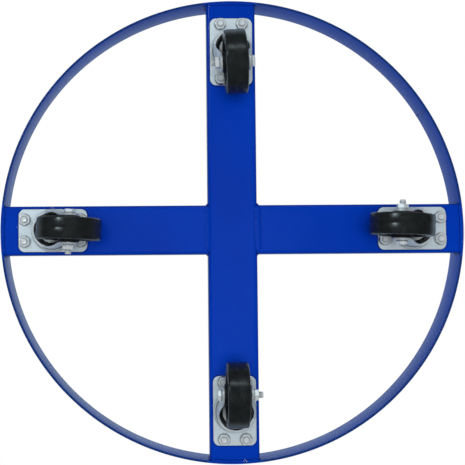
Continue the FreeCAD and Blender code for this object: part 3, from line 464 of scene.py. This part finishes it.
def make_mounting_bolts():
    """Four bolts to a castor plate, each turned as it happened to be tightened."""
    bolts = Surface()
    for side, (across, along) in SIDES.items():
        place = Vector(JOINTS[side + "_swivel_turn"]["pos_m"]) / MM
        outward, sideways = directions(across, along)
        for end in (-1, 1):
            for hand in (-1, 1):
                spot = place + outward * end * BOLT_OUT + sideways * hand * BOLT_SIDE
                turned = Matrix.Rotation(scatter.uniform(0, math.pi / 3), 4, "Z")
                seat = Matrix.Translation((spot.x, spot.y, WEB_TOP)) @ turned
                add_bolt(bolts, MOUNT_BOLT_LENGTH, MOUNT_THREAD_LENGTH, seat)
    bolts.piece("threaded_mounting_bolts", "frame", "fastener_zinc", ["mounting_bolts"])


def make_axle_bolt(side):
    spin_joint = JOINTS[side + "_wheel_spin"]
    axis = Vector(spin_joint["axis"]).normalized()
    head_seat = Vector(spin_joint["pos_m"]) / MM + axis * LEG_OUTER
    bolt = Surface()
    add_bolt(bolt, AXLE_BOLT_LENGTH, AXLE_THREAD_LENGTH, along_axis(head_seat, axis))
    bolt.piece(side + "_threaded_axle_bolt", side + "_swivel", "fastener_zinc", [side + "_axle_bolt"])


# Tyres, in millimetres: (radius, distance from the middle) of the bore's edge and of the groove in a side wall
TYRE_STEPS, SHOULDER_STEPS, TREAD_STEPS = 128, 12, 16
SHOULDER, TREAD_SWELL, PARTING_HALF = 2.4, 0.45, 0.25
BORE_EDGE = ((TYRE_INNER_RADIUS, TREAD_HALF - 0.6), (TYRE_INNER_RADIUS + 0.5, TREAD_HALF - 0.15),
             (TYRE_INNER_RADIUS + 1.4, TREAD_HALF))
WALL_GROOVE = ((32.0, TREAD_HALF), (32.4, TREAD_HALF - 0.35), (33.2, TREAD_HALF - 0.35), (33.6, TREAD_HALF))


def tyre_profile():
    """Half outline from the bore to the tread's parting line, mirrored: the tread swells on each side of that line."""
    half = [*BORE_EDGE, *WALL_GROOVE]
    low = WHEEL_RADIUS - TREAD_SWELL
    for step in range(SHOULDER_STEPS + 1):
        angle = math.pi / 2 * step / SHOULDER_STEPS
        half.append((low - SHOULDER * (1 - math.sin(angle)), TREAD_HALF - SHOULDER * (1 - math.cos(angle))))
    edge = TREAD_HALF - SHOULDER
    for step in range(1, TREAD_STEPS + 1):
        place = step / TREAD_STEPS
        half.append((WHEEL_RADIUS - TREAD_SWELL * (2 * place - 1) ** 2, edge + (PARTING_HALF - edge) * place))
    return half + [(radius, -along) for radius, along in reversed(half)]


def make_tyre(side):
    spin_joint = JOINTS[side + "_wheel_spin"]
    tyre = Surface()
    points, faces = spin(tyre_profile(), TYRE_STEPS)
    tyre.add(points, faces, along_axis(Vector(spin_joint["pos_m"]) / MM, spin_joint["axis"]))
    tyre.piece(side + "_moulded_tyre", side + "_wheel", "tyre_rubber", [side + "_tyre"])


# Welds, in millimetres; a bead's height is a share of its radius
BEAD_SIDES, BEAD_STEP, BEAD_HEIGHT = 12, 0.28, 0.8
TAPER_ROWS, TAPER_START = 12, 0.25                # rows over which a bead's end grows, and how bluntly it starts
RIPPLE, SURGE, DRIFT = (0.045, 1.7), (0.09, 9.3), (0.07, 23.0)     # (share of the radius, length) of its unevenness
RIPPLE_WOBBLE, RIPPLE_WOBBLE_LENGTH = 0.8, 2.9
DRAWN_BACK = 0.5                                  # how far the edges of a ripple trail, as a share of the radius
UPRIGHT_LOW, UPRIGHT_HIGH = RING_BOTTOM + BAR_BEND, FLANGE_TOP - 1.0
END_BEAD_AT, END_BEAD_RADIUS, END_BEAD_HEIGHT = RING_INNER_RADIUS - 0.9, 1.75, 0.85
END_BEAD_LEVEL, END_BEAD_SHORT, END_BEAD_ROWS = RING_BOTTOM + 0.1, 2.5, 220
RING_CORNER_RADIUS, RING_CORNER_SHIFT = 1.7, 0.4
CAP_BEADS = ((-1, 31.4, 3.6), (1, 31.8, 4.2))     # (hand, distance from the middle, radius)
CAP_LEVEL, CAP_HEIGHT, CAP_SHORT, CAP_SKEW = RING_BOTTOM + 0.45, 0.32, 3.0, 0.5
CAP_TILT = math.radians(9)
GROOVE_AT, GROOVE_LEVEL = BAR_HALF - 0.3, CAP_LEVEL + 1.1
GROOVE_RADIUS, GROOVE_SHORT = 1.8, 1.0
CROSS_CORNERS = ((-1, 3.4), (1, 2.4))             # (front or rear of the short bar, radius)
CROSS_CORNER_LOW, CROSS_CORNER_SHIFT, CROSS_CORNER_HEIGHT = RING_BOTTOM + 2.6, 0.27, 0.41
SEAM_RADIUS, SEAM_SHORT, SEAM_SHIFT = 1.3, 0.8, 0.1


def swelling(length):
    """Unevenness of a bead at this length along it: fine ripples, and slow surges of the welder's hand."""
    return (1 + RIPPLE[0] * math.sin(2 * math.pi * length / RIPPLE[1]
                                     + RIPPLE_WOBBLE * math.sin(length / RIPPLE_WOBBLE_LENGTH))
            + SURGE[0] * math.sin(2 * math.pi * length / SURGE[1])
            + DRIFT[0] * math.sin(2 * math.pi * length / DRIFT[1] + 1.0))


def add_bead(surface, path, radius, outward, height=BEAD_HEIGHT):
    """Rippled weld bead along a path: round rows, each drawn back at its edges like a laid puddle."""
    rows = []
    length = 0.0
    last = len(path) - 1
    for number, point in enumerate(path):
        along = (path[min(number + 1, last)] - path[max(number - 1, 0)]).normalized()
        up = (outward - along * outward.dot(along)).normalized()
        sideways = along.cross(up)
        if number:
            length += (point - path[number - 1]).length
        to_end = min(number, last - number) / TAPER_ROWS
        taper = min(1.0, math.sqrt((to_end + TAPER_START) / (1 + TAPER_START)))
        reach = radius * swelling(length) * taper
        row = []
        for angle in angles_round(BEAD_SIDES):
            drawn_back = 0.5 * (1 - math.sin(angle)) * radius * DRAWN_BACK
            row.append(point + sideways * reach * math.cos(angle) + up * reach * height * math.sin(angle)
                       - along * drawn_back)
        rows.append(row)
    surface.add(*loft(rows))


def straight(start, end):
    """Path of close points between two places."""
    start, end = Vector(start), Vector(end)
    count = max(2, int((end - start).length / BEAD_STEP))
    return [start.lerp(end, number / count) for number in range(count + 1)]


def upright(corner, low, high):
    """Straight path up a corner from one level to another."""
    return straight(corner + Vector((0, 0, low)), corner + Vector((0, 0, high)))


def add_end_welds(welds):
    """Where each bar meets the ring: a bead across its lower face, and one up each side."""
    half_angle = math.asin((BAR_HALF - END_BEAD_SHORT) / RING_INNER_RADIUS)
    corner_reach = math.sqrt(RING_INNER_RADIUS ** 2 - BAR_HALF ** 2)
    for across, along in SIDES.values():
        heading = math.atan2(along, across)
        path = []
        for number in range(END_BEAD_ROWS + 1):
            angle = heading - half_angle + 2 * half_angle * number / END_BEAD_ROWS
            path.append(Vector((END_BEAD_AT * math.cos(angle), END_BEAD_AT * math.sin(angle), END_BEAD_LEVEL)))
        add_bead(welds, path, END_BEAD_RADIUS, DOWN, END_BEAD_HEIGHT)
        outward, sideways = directions(across, along)
        for hand in (-1, 1):
            corner = (outward * (corner_reach - RING_CORNER_SHIFT)
                      + sideways * hand * (BAR_HALF + RING_CORNER_SHIFT))
            inward = (sideways * hand - outward).normalized()
            add_bead(welds, upright(corner, UPRIGHT_LOW, UPRIGHT_HIGH), RING_CORNER_RADIUS, inward)


def add_cross_welds(welds):
    """Where each short bar meets the long one: a broad cap, a bead in the groove under it, and one up each corner."""
    for hand, middle, radius in CAP_BEADS:
        tilted = Vector((-hand * math.sin(CAP_TILT), 0, -math.cos(CAP_TILT)))
        cap = straight((hand * middle, CAP_SHORT - BAR_HALF, CAP_LEVEL),
                       (hand * middle + CAP_SKEW, BAR_HALF - CAP_SHORT, CAP_LEVEL))
        add_bead(welds, cap, radius, tilted, CAP_HEIGHT)
        groove = straight((hand * GROOVE_AT, GROOVE_SHORT - BAR_HALF, GROOVE_LEVEL),
                          (hand * GROOVE_AT, BAR_HALF - GROOVE_SHORT, GROOVE_LEVEL))
        add_bead(welds, groove, GROOVE_RADIUS, DOWN)
        for end, corner_radius in CROSS_CORNERS:
            inward = Vector((hand, end, 0)).normalized()
            corner = Vector((hand * BAR_HALF, end * BAR_HALF, 0)) + inward * CROSS_CORNER_SHIFT * corner_radius
            add_bead(welds, upright(corner, CROSS_CORNER_LOW, UPRIGHT_HIGH), corner_radius, inward,
                     CROSS_CORNER_HEIGHT)


def add_seam(welds):
    """Up the inside of the ring, where its two ends meet."""
    toward_middle = -Vector((math.cos(SEAM_ANGLE), math.sin(SEAM_ANGLE), 0))
    foot = -toward_middle * (RING_INNER_RADIUS - SEAM_SHIFT)
    add_bead(welds, upright(foot, RING_BOTTOM + SEAM_SHORT, RING_TOP - SEAM_SHORT), SEAM_RADIUS, toward_middle)


def make_welds():
    welds = Surface()
    add_end_welds(welds)
    add_cross_welds(welds)
    add_seam(welds)
    welds.piece("rippled_weld_beads", "frame", "frame_paint", ["frame_welds"])


# Ring, in millimetres: its waves are (height, count round the ring, phase)
RING_STEPS, EDGE_STEPS, RING_SHARP = 360, 4, 60.0
RING_WAVES = ((0.05, 5, 1.0), (0.04, 11, 2.3), (0.02, 24, 0.0))
TWIST_HEIGHT, TWIST_COUNT, TWIST_PITCH = 0.03, 7, 12.0
RING_SETBACK = 0.14                               # keeps the waves inside the solid ring


def make_ring():
    """The ring as rolled: edges worn round, and never quite true along its length."""
    outline = []
    for radius, level, start in ((RING_INNER_RADIUS, RING_BOTTOM, 180), (RING_OUTER_RADIUS, RING_BOTTOM, 270),
                                 (RING_OUTER_RADIUS, RING_TOP, 0), (RING_INNER_RADIUS, RING_TOP, 90)):
        middle = (radius + (RING_EDGE if radius == RING_INNER_RADIUS else -RING_EDGE),
                  level + (RING_EDGE if level == RING_BOTTOM else -RING_EDGE))
        for step in range(EDGE_STEPS + 1):
            angle = math.radians(start + 90 * step / EDGE_STEPS)
            outline.append((middle[0] + RING_EDGE * math.cos(angle), middle[1] + RING_EDGE * math.sin(angle)))
    points, faces = spin(outline, RING_STEPS)
    wavy = []
    for across, along, level in points:
        angle = math.atan2(along, across)
        shift = sum(height * math.sin(count * angle + phase) for height, count, phase in RING_WAVES)
        shift += TWIST_HEIGHT * math.sin(TWIST_COUNT * angle + level / TWIST_PITCH) - RING_SETBACK
        stretch = 1 + shift / RING_OUTER_RADIUS
        wavy.append((across * stretch, along * stretch, level))
    ring = Surface()
    ring.add(wavy, faces)
    ring.piece("rolled_ring", "frame", "frame_paint", ["ring"], sharp=RING_SHARP, finish=RING_PAINT_LIT_COPY)


# Drops, in millimetres
DROP_SIDES, DROP_ROWS, DROP_DOME = 10, 5, 4.4     # points round a drop, rows up it, rows that a full dome would have
DROP_FOOT, DROP_RIM = 0.6, 0.05                   # how deep its foot is sunk in what carries it, and its rim
SPATTER_RADII, SPECK_RADII, SQUATNESS = (0.18, 0.45), (0.35, 0.55), (0.35, 0.7)
END_DROPS, END_DROPS_IN, END_DROPS_ASIDE = 7, (3, 5), 24          # number, mean and spread inwards, reach sideways
CROSS_DROPS, CROSS_DROPS_OUT, CROSS_DROPS_ASIDE = 4, (2, 14), 25   # number, reach from the cross, reach sideways
# Places of the bright specks; those near the rear bar's end are painted glints on the weld ripples.
SPECKS = ((297.9, 17.6), (11.1, 295.6), (13.7, 294.8), (14.6, 296.4), (15.8, 295.9), (12.4, 293.6),
          (-277.7, -5.0), (-28.3, 224.8), (-231.4, -29.0), (-234.0, -29.2))


def add_drop(surface, spot, radius=None):
    """Flat drop under the bars' face, or under the bead at a bar's end, with its foot sunk in what carries it."""
    radius = radius or scatter.uniform(*SPATTER_RADII)
    squat = scatter.uniform(*SQUATNESS)
    across_bead = (spot.length - END_BEAD_AT) / END_BEAD_RADIUS
    proud = END_BEAD_RADIUS * END_BEAD_HEIGHT * math.sqrt(max(0.0, 1 - across_bead ** 2))
    level = RING_BOTTOM - proud
    outline = [(radius, level + DROP_FOOT)]
    for step in range(DROP_ROWS):
        rise = math.pi / 2 * step / DROP_DOME
        outline.append((radius * math.cos(rise), level + DROP_RIM - radius * squat * math.sin(rise)))
    surface.add(*loft([[(spot.x + reach * math.cos(turn), spot.y + reach * math.sin(turn), height)
                        for turn in angles_round(DROP_SIDES)] for reach, height in outline]))


def make_spatter():
    """Small hard drops of weld metal under the paint, near the bars' ends and the middle of the cross."""
    drops = Surface()
    for across, along in SIDES.values():
        outward, sideways = directions(across, along)
        for _ in range(END_DROPS):
            out = BAR_END - abs(scatter.gauss(*END_DROPS_IN))
            add_drop(drops, outward * out + sideways * scatter.uniform(-END_DROPS_ASIDE, END_DROPS_ASIDE))
        for _ in range(CROSS_DROPS):
            out = scatter.uniform(BAR_HALF + CROSS_DROPS_OUT[0], BAR_HALF + CROSS_DROPS_OUT[1])
            add_drop(drops, outward * out + sideways * scatter.uniform(-CROSS_DROPS_ASIDE, CROSS_DROPS_ASIDE))
    drops.piece("weld_spatter", "frame", "frame_paint")


def make_specks():
    """Drops of spatter and chipped spots where bright steel shows; those at the rear bar's end are painted glints on
    the weld ripples there.
    """
    specks = Surface()
    for across, along in SPECKS:
        add_drop(specks, Vector((across, along, 0)), scatter.uniform(*SPECK_RADII))
    specks.piece("bare_specks_and_painted_glints", "frame", "fastener_zinc")


make_mounting_bolts()
for castor in SIDES:
    make_axle_bolt(castor)
    make_tyre(castor)
make_ring()
make_welds()
make_spatter()
make_specks()


# Stage: a pale floor that is seen from above only, a white surround, and soft lamps over and under the trolley

FLOOR_REACH, FLOOR_LEVEL = 30.0, -0.0004
FLOOR_DARK, FLOOR_PALE = (0.82, 0.82, 0.82), (0.84, 0.84, 0.84)
WHITE = 1.0
AMBIENT_BELOW, AMBIENT_ABOVE = 0.14, 0.60
ROOM_BELOW, ROOM_DIM, ROOM_BRIGHT = 0.03, 0.42, 0.58
ROOM_BRIGHT_SIDE = (0.70, -0.71, 0.0)
ROOM_TINT = (0.80, 1.0, 1.12)
MIRRORED_LAMP_COLOUR = (0.78, 0.95, 1.0)
LAMPS_FACE = (0, 0, 0.08)


def make_floor():
    """Pale floor that shows from above only: the photo's camera looks up through it."""
    mesh = bpy.data.meshes.new("studio_floor")
    corners = ((-1, -1), (1, -1), (1, 1), (-1, 1))
    mesh.from_pydata([(across * FLOOR_REACH, along * FLOOR_REACH, FLOOR_LEVEL) for across, along in corners], [],
                     [(0, 1, 2, 3)])
    floor = bpy.data.objects.new("studio_floor", mesh)
    bpy.context.scene.collection.objects.link(floor)
    pale = Shader("pale_floor")
    pale.colour(pale.ramp(pale.noise(3.0, detail=2.0), [(0.3, FLOOR_DARK), (0.7, FLOOR_PALE)]))
    pale.set(Roughness=0.8, Specular_IOR_Level=0.2)
    nodes = pale.tree.nodes
    blank = nodes.new("ShaderNodeBsdfTransparent")
    sides = nodes.new("ShaderNodeMixShader")
    pale.link(nodes.new("ShaderNodeNewGeometry").outputs["Backfacing"], sides.inputs["Fac"])
    pale.link(pale.surface.outputs["BSDF"], sides.inputs[1])
    pale.link(blank.outputs["BSDF"], sides.inputs[2])
    pale.link(sides.outputs["Shader"], nodes["Material Output"].inputs["Surface"])
    mesh.materials.append(pale.material)
    floor.visible_diffuse = False
    floor.visible_glossy = False
    floor.visible_transmission = False
    floor.visible_shadow = False


def make_world():
    """White to the camera, a dimmer and tinted room to glossy surfaces, and soft ambient light for the rest.

    The room is dark below, where the photographer stood.
    """
    world = bpy.data.worlds.new("studio")
    world.use_nodes = True
    tree = world.node_tree
    tree.nodes.clear()
    new, link = tree.nodes.new, tree.links.new
    path = new("ShaderNodeLightPath")
    places = new("ShaderNodeTexCoord").outputs["Generated"]
    axes = new("ShaderNodeSeparateXYZ")
    link(places, axes.inputs["Vector"])

    def ramp(value, low, high, new_low, new_high):
        node = new("ShaderNodeMapRange")
        node.interpolation_type = "SMOOTHSTEP"
        link(value, node.inputs["Value"])
        numbers = {"From Min": low, "From Max": high, "To Min": new_low, "To Max": new_high}
        for socket, number in numbers.items():
            node.inputs[socket].default_value = number
        return node.outputs["Result"]

    def mix(factor, first, second):
        node = new("ShaderNodeMix")
        link(factor, node.inputs["Factor"])
        for socket, value in (("A", first), ("B", second)):
            if isinstance(value, float):
                node.inputs[socket].default_value = value
            else:
                link(value, node.inputs[socket])
        return node.outputs["Result"]

    lean = new("ShaderNodeVectorMath")
    lean.operation = "DOT_PRODUCT"
    link(places, lean.inputs[0])
    lean.inputs[1].default_value = ROOM_BRIGHT_SIDE
    room = ramp(lean.outputs["Value"], -0.30, 0.30, ROOM_DIM, ROOM_BRIGHT)
    mirrored = mix(ramp(axes.outputs["Z"], 0.10, 0.45, 0.0, 1.0), ROOM_BELOW, room)
    ambient = ramp(axes.outputs["Z"], -0.10, 0.20, AMBIENT_BELOW, AMBIENT_ABOVE)
    seen = mix(path.outputs["Is Camera Ray"], mix(path.outputs["Is Glossy Ray"], ambient, mirrored), WHITE)
    background = new("ShaderNodeBackground")
    tint = new("ShaderNodeMix")
    tint.data_type = "RGBA"
    link(path.outputs["Is Glossy Ray"], tint.inputs["Factor"])
    tint.inputs[MIX_FIRST].default_value = (1.0, 1.0, 1.0, 1.0)
    tint.inputs[MIX_SECOND].default_value = (*ROOM_TINT, 1.0)
    link(tint.outputs[MIX_RESULT], background.inputs["Color"])
    link(seen, background.inputs["Strength"])
    link(background.outputs["Background"], new("ShaderNodeOutputWorld").inputs["Surface"])
    bpy.context.scene.world = world


def make_lamp(name, place, watts, width, height, mirrored):
    """Soft rectangular lamp that faces the trolley: it either shows in glossy surfaces or lights the rest."""
    data = bpy.data.lights.new(name, "AREA")
    data.energy = watts
    data.shape = "RECTANGLE"
    data.size = width
    data.size_y = height
    if mirrored:
        data.color = MIRRORED_LAMP_COLOUR
    lamp = bpy.data.objects.new(name, data)
    lamp.location = place
    lamp.rotation_mode = "QUATERNION"
    lamp.rotation_quaternion = (Vector(LAMPS_FACE) - Vector(place)).to_track_quat("-Z", "Y")
    lamp.visible_glossy = mirrored
    lamp.visible_diffuse = not mirrored
    bpy.context.scene.collection.objects.link(lamp)


def make_overhead():
    """Even soft light from above for the top of the trolley, the floor and the shadow on it."""
    data = bpy.data.lights.new("overhead", "SUN")
    data.energy = 1.5
    data.angle = math.radians(35)
    lamp = bpy.data.objects.new("overhead", data)
    lamp.rotation_euler = (math.radians(6), math.radians(-6), 0.0)
    lamp.visible_glossy = False
    bpy.context.scene.collection.objects.link(lamp)


def make_camera():
    """The photo's view, from straight below, with the shift that its framing needs."""
    data = bpy.data.cameras.new("photo_camera")
    data.sensor_width = 36.0
    data.lens = 75.40
    data.shift_x = 0.1038
    data.shift_y = -0.0122
    camera = bpy.data.objects.new("photo_camera", data)
    camera.location = (-0.0798, 0.0664, -1.1528)
    camera.rotation_euler = (math.pi + 0.056, 0.0132, 0.0074)
    bpy.context.scene.collection.objects.link(camera)
    bpy.context.scene.camera = camera


make_floor()
make_world()
make_lamp("front_below", (-0.05, 0.04, -1.7), watts=27.5, width=0.8, height=0.8, mirrored=False)
make_lamp("far_below", (0.10, -2.60, -2.60), watts=16.0, width=2.2, height=0.7, mirrored=True)
make_lamp("left_below", (-1.62, -1.12, -2.26), watts=26.0, width=0.6, height=0.35, mirrored=True)
make_overhead()
make_camera()
bpy.context.scene.view_settings.view_transform = "Standard"
